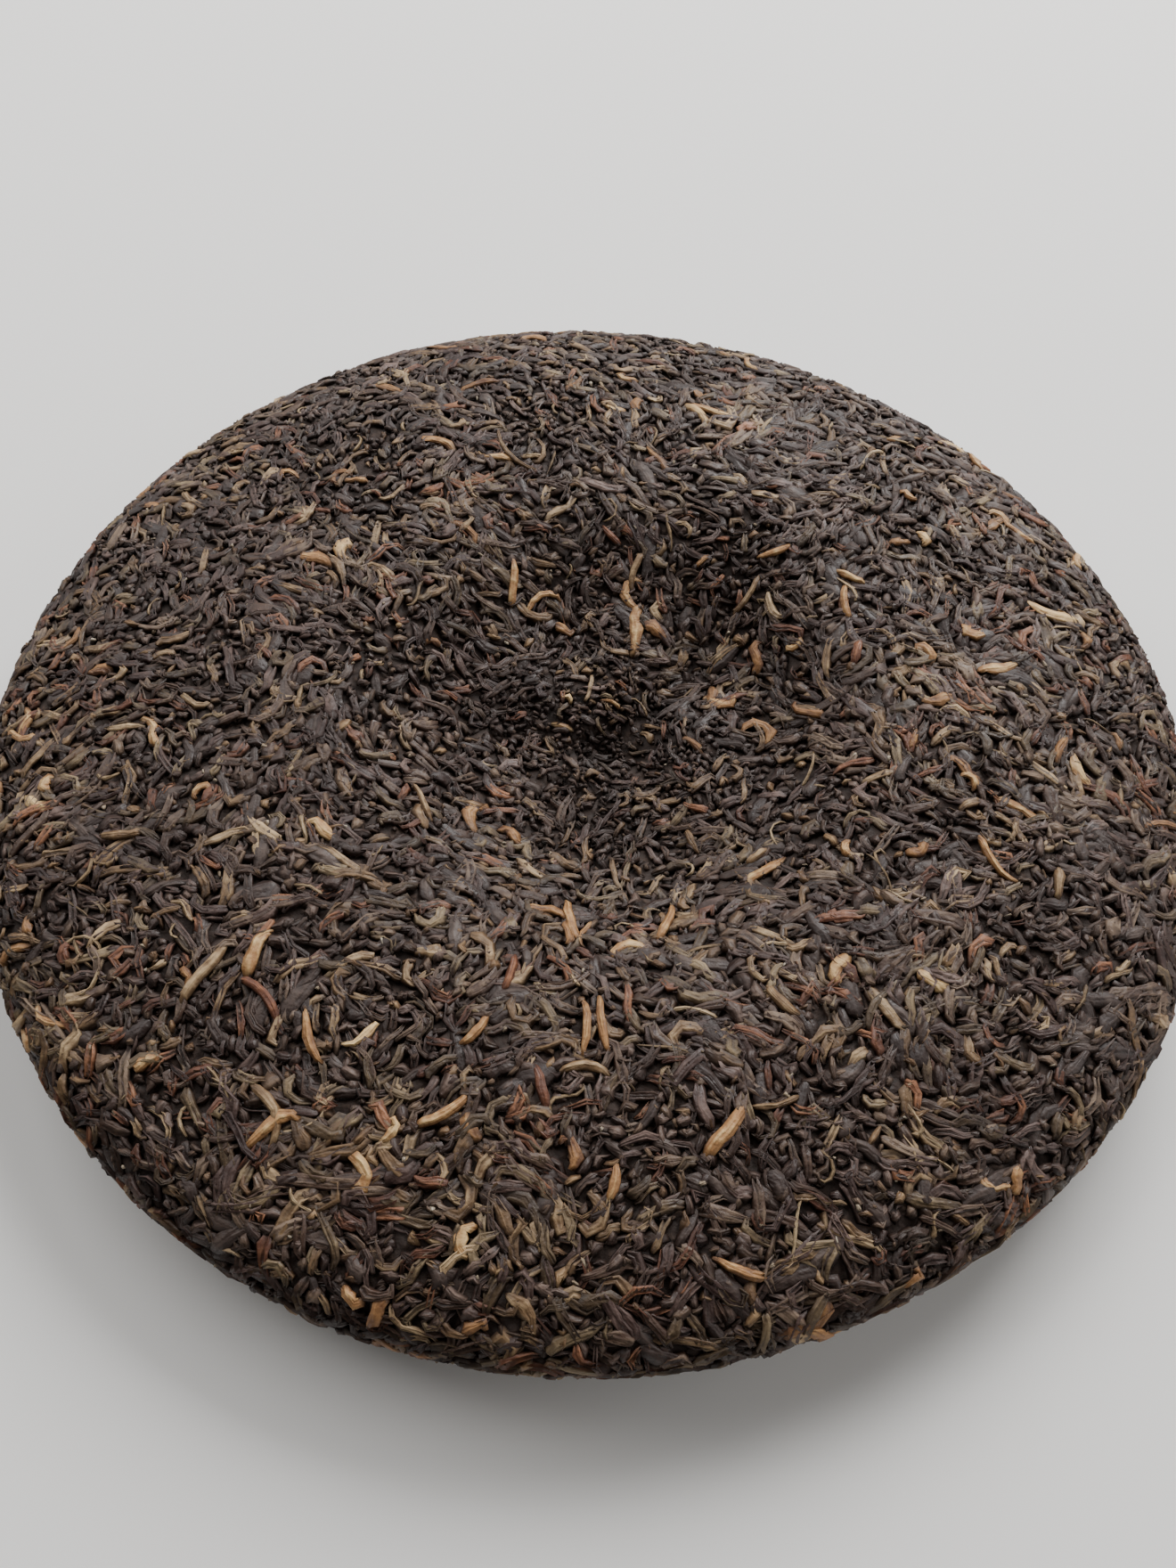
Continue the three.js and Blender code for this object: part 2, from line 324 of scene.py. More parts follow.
FINISHES = {
    "leaf_umber": leaf_finish("umber leaf", (48, 30, 21), (75, 54, 42), (130, 109, 90)),
    "leaf_plum": leaf_finish("plum leaf", (44, 26, 22), (67, 47, 41), (118, 96, 87)),
    "leaf_slate": leaf_finish("slate leaf", (36, 22, 18), (53, 39, 34), (88, 73, 65)),
    "leaf_olive": leaf_finish("olive leaf", (50, 36, 22), (86, 68, 47), (146, 125, 94)),
    "leaf_russet": leaf_finish("russet leaf", (60, 30, 19), (104, 62, 41), (162, 110, 76)),
    "leaf_tan": leaf_finish("tan leaf", (62, 43, 27), (118, 91, 62), (188, 160, 122)),
    "bud_gold": leaf_finish("golden bud", (90, 56, 32), (160, 116, 72), (222, 188, 134), 0.6),
    "stem_pale": leaf_finish("pale stem", (88, 68, 46), (146, 121, 88), (194, 169, 132)),
    "bit_umber": leaf_finish("umber bit", (44, 28, 20), (69, 51, 39), (120, 98, 79)),
    "bit_plum": leaf_finish("plum bit", (40, 24, 20), (62, 45, 38), (108, 88, 77)),
    "bit_tan": leaf_finish("tan bit", (60, 39, 24), (106, 78, 51), (162, 131, 94)),
    "crumb": leaf_finish("crumb", (36, 21, 14), (62, 44, 32), (112, 88, 66), 0.7),
    "fleck_pale": leaf_finish("pale fleck", (120, 102, 80), (168, 150, 126), (208, 196, 176), 0.7),
}
print("made", len(FINISHES), "finishes for leaves")

# %% [markdown]
# A pressed leaf is a strip that withering rolled up lengthwise, so its top shows two ridges with a groove
# between them, and its ends taper. Some leaves are only creased, some are split into more ridges, and
# buds, stems and broken bits are rounder. Each section below is a list of corners, across and up. Each
# blank starts as a sphere with few segments, its poles turned to lie along the leaf, which gives closed
# tips and even rings for free, and moving its few lines of vertices gives the section. The operator lists
# the faces in another order each run, so they are sorted. A blank has only a few dozen faces, because
# thousands of copies are made of it.

# %% Blanks of leaves, buds and crumbs
Blank = namedtuple("Blank", "corners rings loops starts map")
ROLLED = [(0.02, 0.36), (0.30, 1.0), (0.50, 0.0), (-0.50, 0.0), (-0.28, 0.92)]
CREASED = [(0.06, 1.0), (0.40, 0.55), (0.50, 0.0), (-0.50, 0.0), (-0.30, 0.55)]
SPLIT = [(-0.14, 0.95), (0.12, 0.5), (0.36, 0.85), (0.50, 0.0), (-0.50, 0.0)]
ROUND = [(0.0, 1.0), (0.40, 0.72), (0.48, 0.12), (0.0, -0.1), (-0.48, 0.12), (-0.40, 0.72)]
LUMP = [(0.1, 1.0), (0.5, 0.3), (-0.1, -0.1), (-0.5, 0.45)]


def leaf_blank(section, steps, fullness, twist=0.0):
    """A closed leaf one unit long, wide and thick, from a sphere with its poles along X."""
    sides = len(section)
    bm = bmesh.new()
    bmesh.ops.create_uvsphere(bm, u_segments=sides, v_segments=steps, radius=0.5)
    bmesh.ops.rotate(bm, verts=bm.verts, cent=(0, 0, 0), matrix=Matrix.Rotation(math.pi / 2, 3, "Y"))
    for v in bm.verts:
        line = round(math.atan2(v.co.y, v.co.z) / (2 * math.pi / sides)) % sides
        full = max(0, 1 - abs(2 * v.co.x) ** fullness) ** 0.5
        y, z = section[line]
        v.co.y = full * (y + twist * v.co.x * z)
        v.co.z = full * z
    uv = bm.loops.layers.uv.new("leaf")
    for face in bm.faces:
        for loop in face.loops:
            loop[uv].uv = (loop.vert.co.x + 0.5, loop.vert.co.y + 0.5)
    bmesh.ops.recalc_face_normals(bm, faces=bm.faces)
    corners = np.array([v.co for v in bm.verts])
    rings = np.unique(corners[:, 0].round(4), return_inverse=True)[1]
    faces = [list(face.loops) for face in bm.faces]
    faces.sort(key=lambda face: [loop.vert.index for loop in face])
    loops = np.array([loop.vert.index for face in faces for loop in face])
    starts = np.cumsum([0] + [len(face) for face in faces])
    place = np.array([loop[uv].uv for face in faces for loop in face])
    bm.free()
    return Blank(corners, rings, loops, starts, place)


BLANKS = {
    "rolled": leaf_blank(ROLLED, 6, 4.0),
    "twisted": leaf_blank(ROLLED, 6, 3.2, twist=0.5),
    "creased": leaf_blank(CREASED, 6, 4.0, twist=-0.3),
    "split": leaf_blank(SPLIT, 7, 4.0, twist=0.3),
    "bud": leaf_blank(ROUND, 8, 3.4),
    "stem": leaf_blank(LUMP, 8, 8.0),
    "bit": leaf_blank(LUMP, 4, 4.0),
    "crumb": leaf_blank(LUMP, 3, 3.0),
}
for name, blank in BLANKS.items():
    print("blank", name, "has", len(blank.starts) - 1, "faces")

# %% [markdown]
# Pressing crumpled each leaf in its own way, so each ring of a copy's corners is made a little thicker,
# thinner or askew. The copy is then bent in its own plane: a curl is even along it, a sway makes an S of
# it, and a hook grows towards one end. Last it is laid on the skin round its spot. Its height follows
# from a lift of its own, a tilt, and tips that dive between the neighbours. The cloth pressed whatever
# would stand out back to the skin, so a soft cap ends the height, and nothing leaves the solid's box. A
# particle system could scatter the leaves too, but it can't wrap them round the rim, and a single joined
# mesh is easier to keep.

# %% Laying copies on the skin
Laying = namedtuple("Laying", "directions heading length width thickness bends lift tilt dip cap tone")
BEND_PLACES = np.array([0.0694, 0.3300, 0.6700, 0.9306])
BEND_WEIGHTS = np.array([0.1739, 0.3261, 0.3261, 0.1739])
RING_GIRTH = 0.13
RING_ASKEW = 0.06
TAPER = 0.7
CORNER_CRUMPLE = 0.03
CRUMPLE_WAYS = (0.2, 1, 1)
CAP_SOFTNESS = 0.22 * MM
FLAT_LEVELS = 0.5
BURIED = -0.8 * MM
SHOWN = 0.0
ROOM = np.array([list(corner) for corner in cad_box])
INSET = (0.02 * MM, 0.02 * MM, 0)


def crumpled(blank, count, strength):
    """Copies of a blank's corners: each ring thicker, thinner or askew, and each corner moved."""
    ring_count = blank.rings.max() + 1
    girth = np.exp(RANDOM.normal(0, strength * RING_GIRTH, (count, ring_count)))[:, blank.rings]
    askew = RANDOM.normal(0, strength * RING_ASKEW, (count, ring_count))[:, blank.rings]
    moves = RANDOM.normal(0, CORNER_CRUMPLE, (count, *blank.corners.shape))
    corners = blank.corners + moves * CRUMPLE_WAYS
    girth *= 1 + strength * TAPER * blank.corners[:, 0] * RANDOM.uniform(-1, 1, (count, 1))
    corners[..., 1] = corners[..., 1] * girth + askew
    corners[..., 2] *= girth
    return corners


def bent(corners, laid):
    """The copies' corners along and across in the skin's plane, bent as each copy is.

    A bent line's end is the sum of its ways from the middle on, and four weighted places give it closely.
    """
    run = corners[..., 0]

    def turn_at(place):
        curl, sway, hook = laid.bends[..., None]
        return curl * 2 * place + sway * 4 * place**2 + hook * np.maximum(0, 2 * place) ** 2

    along = sum(w * np.cos(turn_at(run * p)) for p, w in zip(BEND_PLACES, BEND_WEIGHTS)) * run
    across = sum(w * np.sin(turn_at(run * p)) for p, w in zip(BEND_PLACES, BEND_WEIGHTS)) * run
    turn = turn_at(run)
    side = corners[..., 1] * laid.width[:, None]
    along = along * laid.length[:, None] - np.sin(turn) * side
    across = across * laid.length[:, None] + np.cos(turn) * side
    return along, across


def laid_points(corners, laid):
    """The copies' corners on the skin, and how deep each lies, from 0 for buried to 1 for shown.

    On the resting flat each copy ends at a level of its own, so that no faces share a plane.
    """
    along, across = bent(corners, laid)
    _, _, east, north, reach_east, reach_north = skin_frames(laid.directions)
    cos, sin = np.cos(laid.heading)[:, None], np.sin(laid.heading)[:, None]
    eastward = (along * cos - across * sin) / np.linalg.norm(reach_east, axis=1)[:, None]
    northward = (along * sin + across * cos) / np.linalg.norm(reach_north, axis=1)[:, None]
    moved = eastward[..., None] * east[:, None] + northward[..., None] * north[:, None]
    point, normal, *_ = skin_frames(unit((laid.directions[:, None] + moved).reshape(-1, 3)))
    run = 2 * corners[..., 0]
    height = laid.lift[:, None] + laid.tilt[:, None] * run - laid.dip[:, None] * run**2
    height = height + laid.thickness[:, None] * corners[..., 2]
    room = (laid.cap[:, None] - height) / CAP_SOFTNESS
    height = laid.cap[:, None] - CAP_SOFTNESS * np.logaddexp(0, room)
    points = point + normal * height.reshape(-1, 1)
    level = np.repeat(laid.cap - laid.cap.min(), corners.shape[1]) * FLAT_LEVELS
    points[:, 2] = np.maximum(points[:, 2], level)
    points = np.clip(points, ROOM[0] + INSET, ROOM[1] - INSET)
    depth = np.clip((height.ravel() - BURIED) / (SHOWN - BURIED), 0, 1)
    return points, depth


def joined_mesh(name, blank, laid, crumple=1.0):
    """One mesh of all the copies, with each corner's tone and depth."""
    copies, corners = len(laid.length), len(blank.corners)
    points, depth = laid_points(crumpled(blank, copies, crumple), laid)
    mesh = bpy.data.meshes.new(name)
    mesh.vertices.add(len(points))
    mesh.vertices.foreach_set("co", points.ravel())
    first = np.arange(copies)[:, None]
    loops = (blank.loops + first * corners).ravel()
    starts = (blank.starts[:-1] + first * len(blank.loops)).ravel()
    mesh.loops.add(len(loops))
    mesh.loops.foreach_set("vertex_index", loops)
    mesh.polygons.add(len(starts))
    mesh.polygons.foreach_set("loop_start", starts)
    mesh.uv_layers.new(name="leaf").uv.foreach_set("vector", np.tile(blank.map, (copies, 1)).ravel())
    mesh.attributes.new("tone", "FLOAT", "POINT").data.foreach_set("value", np.repeat(laid.tone, corners))
    mesh.attributes.new("depth", "FLOAT", "POINT").data.foreach_set("value", depth)
    mesh.update(calc_edges=True)
    mesh.polygons.foreach_set("use_smooth", np.ones(len(starts), bool))
    return mesh


def add_piece(name, mesh, finish):
    """Puts a finished mesh into the scene as a piece that stands for the solid."""
    piece = bpy.data.objects.new(name, mesh)
    bpy.context.collection.objects.link(piece)
    mesh.materials.append(finish)
    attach(piece, BODY)
    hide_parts(NODE)
    return piece


# %% [markdown]
# Leaves that lie side by side follow each other, as they did when the bag was filled, and along the rim
# the cloth turned them with it. So the heading comes from a smooth random field, blended into the rim's
# own way near the rim, and each leaf strays from it a little. A way has no front, so the blend is done on
# the doubled angle. A field is a sum of a few long waves in space. More fields say where the kinds, the
# sizes and the tones gather, and where the ground near the pit split as the knot came out.

# %% Where leaves lie and which way
RANDOM = np.random.default_rng(357)
GOLDEN_ANGLE = math.pi * (3 - math.sqrt(5))
WAVE_COUNT = 10
WAVE_RANGE = (0.6, 1.4)
RIM_FLOW_FROM = 0.80
RIM_FLOW = 1.6


def spread(count, jitter=0.8):
    """Directions spread evenly along a golden spiral, each moved a little."""
    z = 1 - 2 * (np.arange(count) + 0.5) / count
    azimuth = np.arange(count) * GOLDEN_ANGLE
    flat = np.sqrt(1 - z * z)
    places = np.column_stack((flat * np.cos(azimuth), flat * np.sin(azimuth), z))
    reach = jitter * math.sqrt(4 * math.pi / count)
    return unit(places + RANDOM.uniform(-reach, reach, places.shape))


def headings(directions, stray):
    """Each leaf's heading from the skin's eastward way: the flow there, and a stray of its own."""
    point = skin(directions)
    azimuth = np.arctan2(directions[:, 1], directions[:, 0])
    outward = np.hypot(point[:, 0], point[:, 1]) / CAKE_RADIUS
    rim = np.clip((outward - RIM_FLOW_FROM) / (1 - RIM_FLOW_FROM), 0, 1)
    wave_x, wave_y = FLOW
    field = np.arctan2(wave_y(point), wave_x(point)) - 2 * (azimuth + math.pi / 2)
    across = np.sin(field)
    along = np.cos(field) + RIM_FLOW * rim
    return np.arctan2(across, along) / 2 + RANDOM.normal(0, stray, len(directions))


def smooth_field(grain):
    """A smooth random value over space, about 1 in size, that changes over the grain."""
    ways = unit(RANDOM.normal(size=(WAVE_COUNT, 3)))
    ways = ways * RANDOM.uniform(*WAVE_RANGE, (WAVE_COUNT, 1)) * 2 * math.pi / grain
    phases = RANDOM.uniform(0, 2 * math.pi, WAVE_COUNT)
    return lambda points: np.cos(points @ ways.T + phases).sum(1) / math.sqrt(WAVE_COUNT / 2)


FLOW = smooth_field(grain=26 * MM), smooth_field(grain=26 * MM)
PATCHES = smooth_field(grain=45 * MM)
SIZES = smooth_field(grain=25 * MM)
SPLITS = smooth_field(grain=9 * MM)
TONES = smooth_field(grain=15 * MM)
CREVICE_DEPTH = 2.0 * MM
CREVICE_WIDTH = 0.18
CREVICE_REACH = 0.55


def from_hollow(point):
    """How far each point is from the hollow's middle, in radii of the hollow."""
    return np.hypot(point[:, 0] - HOLLOW_CENTRE[0], point[:, 1] - HOLLOW_CENTRE[1]) / HOLLOW_RADIUS


def crevices(point):
    """How far the split ground near the pit lies below the skin."""
    near = np.exp(-((from_hollow(point) / CREVICE_REACH) ** 2)) * (point[:, 2] > RIM_HEIGHT / 2)
    return CREVICE_DEPTH * near * np.exp(-((SPLITS(point) / CREVICE_WIDTH) ** 2))


# %% [markdown]
# The core is what lies under the top leaves: more leaves, pressed to a dark crumbly mass that shows only
# as the ground of the crevices. Its colour is partly painted shade: it is darker than the leaves, so that
# the gaps between them read as shade. It is a fine ball of even triangles, which has no poles, moved onto
# the skin and sunk below it, deeper where the ground split, with bumps of the leaves' size.

# %% The core
CORE_SINK = 1.1 * MM
CORE_BUMPS = 0.35 * MM
CORE_GRAIN = 4 * MM
CORE_FLOOR = 0.4 * MM
CORE_RELIEF = 0.9 * MM
CRUMB_SCALE, LUMP_SCALE = 900.0, 620.0


def core_and_gap_shade_finish():
    finish = Finish("packed core and gap shade")
    at = finish.object_place()
    crumbs = finish.noise(at, CRUMB_SCALE, 4.0)
    grain = {"Vector": at, "Scale": LUMP_SCALE}
    cells = finish.node("ShaderNodeTexVoronoi", {"feature": "SMOOTH_F1"}, grain)
    lumps = 1 - Value(finish, cells.outputs["Distance"])
    # Partly painted shade: the core's colours are darker than the leaves', so the gaps read as shade.
    stops = [(0.2, paint(28, 17, 12)), (0.55, paint(47, 32, 24)), (0.9, paint(78, 59, 46))]
    finish.feed(finish.shader.inputs["Base Color"], finish.ramp(crumbs * 0.6 + lumps * 0.5 - 0.1, stops))
    finish.feed(finish.shader.inputs["Roughness"], crumbs * 0.2 + 0.7)
    finish.relief(lumps + crumbs * 0.4, CORE_RELIEF)
    return finish.material


def core_mesh():
    bm = bmesh.new()
    bmesh.ops.create_icosphere(bm, subdivisions=6, radius=1)
    mesh = bpy.data.meshes.new("tea_core")
    bm.to_mesh(mesh)
    bm.free()
    directions = np.empty(3 * len(mesh.vertices))
    mesh.vertices.foreach_get("co", directions)
    point, normal, *_ = skin_frames(unit(directions.reshape(-1, 3)))
    bumps = CORE_BUMPS * smooth_field(CORE_GRAIN)(point)
    height = np.clip(bumps, -CORE_BUMPS, CORE_BUMPS) - CORE_SINK - crevices(point)
    points = point + normal * height[:, None]
    points[:, 2] = np.maximum(points[:, 2], CORE_FLOOR)
    mesh.vertices.foreach_set("co", points.ravel())
    mesh.polygons.foreach_set("use_smooth", np.ones(len(mesh.polygons), bool))
    mesh.update()
    return mesh


core = add_piece("tea_core", core_mesh(), core_and_gap_shade_finish())
print("the core has", len(core.data.polygons), "triangles")

# %% [markdown]
# All leaves share one spread, so that they cover the cake evenly, and then each spot is given to a kind.
# The shares are those of the real cake, and they drift over it, so that dark patches and golden ones
# form. The ranges below are in millimetres. Most leaves of this grade are 4 to 11 mm long and 1 to 3 mm
# wide, with shorter bits of broken leaf between them, and the knot ground those in the hollow finer.

# %% The kinds of leaves
Kind = namedtuple("Kind", "blank length width thickness bends lift stray slot share", defaults=(0,))
LEAF, BUD = "tea_leaf", "tea_bud"
BENT, CURLED, STIFF = (0.9, 0.9, 0.7), (1.1, 1.1, 1.2), (0.4, 0.4, 0.4)
THICK, THIN = (0.8, 1.2), (0.7, 1.0)
DEEP, SUNK = (-1.3, -0.6), (-1.2, -0.5)
KINDS = {
    "leaf_umber": Kind("rolled", (4.2, 10.5), (1.1, 2.1), THICK, BENT, DEEP, 0.6, LEAF, 0.150),
    "leaf_plum": Kind("twisted", (4.2, 10.0), (1.1, 2.2), THICK, CURLED, DEEP, 0.6, LEAF, 0.150),
    "leaf_slate": Kind("creased", (4.5, 10), (1.6, 3.2), (0.5, 0.9), STIFF, (-1.1, -0.6), 0.6, LEAF, 0.075),
    "leaf_olive": Kind("split", (4.2, 10.0), (1.1, 2.2), THICK, CURLED, DEEP, 0.65, LEAF, 0.095),
    "leaf_russet": Kind("twisted", (4.0, 9.5), (1.0, 2.0), THICK, CURLED, DEEP, 0.65, LEAF, 0.060),
    "leaf_tan": Kind("split", (4.2, 10.5), (1.1, 2.1), (0.7, 1.1), CURLED, (-1.1, -0.5), 0.75, LEAF, 0.070),
    "bud_gold": Kind("bud", (4.5, 10.5), (1.2, 2.3), (0.9, 1.2), CURLED, (-0.9, -0.5), 0.9, BUD, 0.011),
    "stem_pale": Kind("stem", (3.0, 9), (0.4, 0.8), (0.5, 0.8), BENT, (-0.7, -0.4), 0.8, BUD, 0.013),
    "bit_umber": Kind("bit", (2.0, 4.5), (1.0, 2.0), THIN, BENT, SUNK, 1.0, LEAF, 0.140),
    "bit_plum": Kind("bit", (2.0, 4.5), (1.0, 2.2), THIN, BENT, SUNK, 1.0, LEAF, 0.150),
    "bit_tan": Kind("bit", (1.8, 4.2), (0.8, 1.8), THIN, BENT, SUNK, 1.0, LEAF, 0.060),
}
LEAF_COUNT = 18600
LENGTH_LEAN = 1.3
SIZE_DRIFT = 0.12
HOLLOW_FINENESS, HOLLOW_FALL = 0.4, 3
TILT = 0.22 * MM
DIP, CAP = (0.1, 0.5), (-0.1, 0.4)
TONE_DRIFT = 0.2
# Painted shade: how much the leaves in the hollow are painted darker.
HOLLOW_PAINTED_SHADE = 0.15
GOLDEN = ("leaf_russet", "leaf_tan", "bud_gold", "leaf_olive", "bit_tan")
GOLDEN_LEAN = 0.6
PATCHINESS = 0.35
DARK_PATCHINESS = -0.3


def between(limits, count):
    """Draws evenly between two limits in millimetres."""
    return RANDOM.uniform(limits[0] * MM, limits[1] * MM, count)


def leaning_short(limits, count):
    """Draws between two limits that come out short more often than long."""
    low, high = limits
    return (low + (high - low) * RANDOM.uniform(0, 1, count) ** LENGTH_LEAN) * MM


def laying_of(kind, directions):
    """Draws the size, the bends and the lie of each copy of a kind."""
    count = len(directions)
    point = skin(directions)
    away = from_hollow(point)
    finer = HOLLOW_FINENESS * np.exp(-HOLLOW_FALL * away**2) * (directions[:, 2] > 0)
    size = np.exp(SIZE_DRIFT * SIZES(point)) * (1 - finer)
    # Painted shade: leaves in and round the hollow get a lower tone.
    hollow_shade = HOLLOW_PAINTED_SHADE * np.exp(-(away**4))
    thickness = between(kind.thickness, count)
    return Laying(
        directions=directions,
        heading=headings(directions, kind.stray),
        length=leaning_short(kind.length, count) * size,
        width=between(kind.width, count) * size,
        thickness=thickness,
        bends=RANDOM.normal(0, 1, (3, count)) * np.array(kind.bends)[:, None],
        lift=between(kind.lift, count) - (thickness - thickness.mean()) - crevices(point),
        tilt=RANDOM.normal(0, TILT, count),
        dip=between(DIP, count),
        cap=between(CAP, count),
        tone=RANDOM.uniform(0, 1, count) + TONE_DRIFT * TONES(point) - hollow_shade,
    )


def kind_of_each(directions):
    """Gives each spot to a kind. Golden kinds are commoner in some patches and towards the near left."""
    point = skin(directions)
    patch = PATCHES(point)[:, None] - GOLDEN_LEAN * (point[:, :1] + point[:, 1:2]) / CAKE_RADIUS
    follows = np.where([name in GOLDEN for name in KINDS], 1, DARK_PATCHINESS)
    shares = np.array([kind.share for kind in KINDS.values()]) * np.exp(PATCHINESS * patch * follows)
    steps = np.cumsum(shares, axis=1)
    return (RANDOM.uniform(0, 1, (len(directions), 1)) * steps[:, -1:] > steps).sum(1)


spots = spread(LEAF_COUNT)
given = kind_of_each(spots)
leaves = []
for index, (name, kind) in enumerate(KINDS.items()):
    laid = laying_of(kind, spots[given == index])
    mesh = joined_mesh(name, BLANKS[kind.blank], laid)
    leaves.append(add_piece(name, mesh, FINISHES[name]))
    print(name, "has", len(laid.length), "copies")

# %% [markdown]
# Chance leaves the core bare here and there, and on the real cake broken leaf fills such gaps. A search
# tree of the leaves' corners near the skin finds them: a gap is a place with no such corner close by.

# %% Bits in the gaps
GAP_TRIES = 30000
GAP_REACH = 0.72 * MM
GAP_DEPTH = 0.5 * MM
NEAR_SKIN = 0.35
FILLER = Kind("bit", (2.2, 4.0), (1.0, 2.0), THIN, BENT, (-1.15, -0.7), 1.0, LEAF)


def corners_near_skin(pieces):
    """All corners of some pieces that lie near the cake's skin."""
    found = []
    for piece in pieces:
        points = np.empty(3 * len(piece.data.vertices))
        depth = np.empty(len(piece.data.vertices))
        piece.data.vertices.foreach_get("co", points)
        piece.data.attributes["depth"].data.foreach_get("value", depth)
        found.append(points.reshape(-1, 3)[depth > NEAR_SKIN])
    return np.concatenate(found)


def bare_places(pieces):
    """Directions of the places with no leaf close by."""
    corners = corners_near_skin(pieces)
    tree = KDTree(len(corners))
    for number, corner in enumerate(corners):
        tree.insert(corner, number)
    tree.balance()
    tries = spread(GAP_TRIES)
    point, normal, *_ = skin_frames(tries)
    below = point - normal * (GAP_DEPTH + crevices(point))[:, None]
    return tries[[tree.find(place)[2] > GAP_REACH for place in below]]


laid = laying_of(FILLER, bare_places(leaves))
add_piece("bit_filler", joined_mesh("bit_filler", BLANKS["bit"], laid), FINISHES["bit_plum"])
print("filled", len(laid.length), "gaps")

# %% [markdown]
# A few buds and leaves catch the eye on the real cake, so these are listed one by one. Each row says where
# one lies, its heading in degrees, its length and width in millimetres, and its curl, sway and hook. They
# lie on top of the others, so their cap is higher, and they are crumpled less.

# %% Buds and leaves that stand out
MARKED = {
    "marked_gold": [
        (-45.2, -46.6, 82, 8.5, 2.0, 0.0, 0.1, -1.6),
        (21.4, -67.4, 54, 9.6, 2.2, 0.0, 0.0, 0.0),
        (-16.2, -67.6, 34, 8.4, 1.7, 0.3, 0.0, 0.2),
        (23.5, -84.7, -19, 7.8, 1.5, 0.2, 0.3, 0.0),
        (-35.6, -58.5, -68, 9.4, 1.4, 0.2, 0.0, 0.5),
        (-13.1, -56.0, 56, 6.4, 1.5, 0.4, 0.0, 0.0),
        (1.8, -54.1, 90, 9.0, 1.3, 0.3, 0.2, 0.0),
        (3.8, -53.7, 99, 9.6, 1.4, -0.2, 0.3, 0.0),
        (60.4, -23.2, -62, 10.5, 1.2, 0.3, 0.0, 1.1),
        (-1.8, -35.8, -80, 9.8, 1.5, 0.2, 0.4, 0.0),
        (6.9, -75.0, 82, 5.4, 1.4, 0.3, 0.0, 0.0),
        (-16.2, 27.1, 93, 10.0, 1.4, 0.2, 0.3, 0.0),
        (28.5, 35.6, 23, 7.0, 1.2, 0.3, 0.0, 0.3),
        (40.0, 25.6, -87, 8.0, 1.5, 0.4, 0.0, 0.3),
        (12.9, -34.9, 74, 8.8, 1.4, 0.3, 0.2, 0.0),
        (41.0, 30.5, -28, 6.0, 1.4, 0.3, 0.0, 0.0),
    ],
    "marked_russet": [
        (-42.7, -52.9, -42, 9.5, 1.5, -0.6, 0.0, 0.0),
        (-3.7, -63.2, -74, 7.4, 1.5, 0.0, 0.3, 0.0),
        (-9.3, -46.6, 80, 6.8, 1.4, 0.3, 0.0, 0.0),
        (41.9, 15.6, -104, 5.8, 1.7, 0.2, 0.0, 0.0),
        (-0.3, 38.0, -42, 5.0, 1.3, 0.3, 0.0, 0.0),
    ],
    "marked_tan": [
        (-51.8, -50.4, 57, 11.0, 1.9, 0.0, 0.4, 0.0),
        (-38.5, -68.5, -60, 11.0, 1.5, -0.8, 0.0, -0.4),
        (1.9, -59.8, 0, 8.0, 1.5, -0.8, 0.0, 0.0),
        (28.8, -48.6, -44, 7.0, 1.6, 0.3, 0.0, 0.4),
        (70.2, -25.5, -101, 5.8, 1.6, 0.0, 0.5, 0.0),
        (28.1, -63.5, 18, 7.4, 1.0, 0.4, 0.0, 0.0),
        (-68.5, -30.0, 9, 7.2, 1.5, 0.3, 0.0, 0.0),
        (16.2, -18.6, -66, 5.4, 1.2, 0.2, 0.0, 0.0),
        (-20.0, 53.0, -54, 15.0, 0.9, 0.6, 0.0, 0.5),
        (4.2, 32.5, -103, 8.4, 1.4, 0.5, 0.0, 0.0),
        (24.3, 28.0, -123, 8.8, 1.2, -0.3, 0.0, 0.0),
        (-25.8, -18.2, -68, 8.0, 1.2, -0.2, 0.4, 0.5),
        (26.2, -21.8, 47, 4.6, 1.3, 0.2, 0.0, 0.0),
    ],
}
MARKED_FINISH = {"marked_gold": "bud_gold", "marked_russet": "leaf_russet", "marked_tan": "leaf_tan"}
MARKED_THICKNESS = 1.1 * MM
MARKED_LIFT = -0.5 * MM
MARKED_DIP = 0.35 * MM
MARKED_CAP = 0.55 * MM
MARKED_TONE = (0.2, 0.75)
MARKED_CRUMPLE = 0.5


def laying_of_marked(marks):
    """Lays each marked copy on the upper side, at its own place."""
    x, y, heading, length, width, *bends = np.array(marks, float).T
    share, radii, _ = OUTLINE
    upper = OUTLINE_STEPS // 2
    z = 2 * np.interp(np.hypot(x, y) * MM, radii[:upper:-1], share[:upper:-1]) - 1
    azimuth = np.arctan2(y, x)
    flat = np.sqrt(1 - z * z)
    same = np.ones(len(marks))
    return Laying(
        directions=np.column_stack((flat * np.cos(azimuth), flat * np.sin(azimuth), z)),
        heading=np.radians(heading) - azimuth - math.pi / 2,
        length=length * MM,
        width=width * MM,
        thickness=MARKED_THICKNESS * same,
        bends=np.array(bends),
        lift=MARKED_LIFT * same,
        tilt=0 * same,
        dip=MARKED_DIP * same,
        cap=MARKED_CAP * same,
        tone=RANDOM.uniform(*MARKED_TONE, len(marks)),
    )


for name, marks in MARKED.items():
    mesh = joined_mesh(name, BLANKS["bud"], laying_of_marked(marks), MARKED_CRUMPLE)
    add_piece(name, mesh, FINISHES[MARKED_FINISH[name]])
    print(name, len(marks), "copies")

# %% [markdown]
# Breaking and steaming leave crumbs, which filled the gaps and lie thickest in the hollow, where the knot
# ground the leaves. A few pale flecks of stem and bud fuzz lie on top. Both are lumps with a dozen faces.

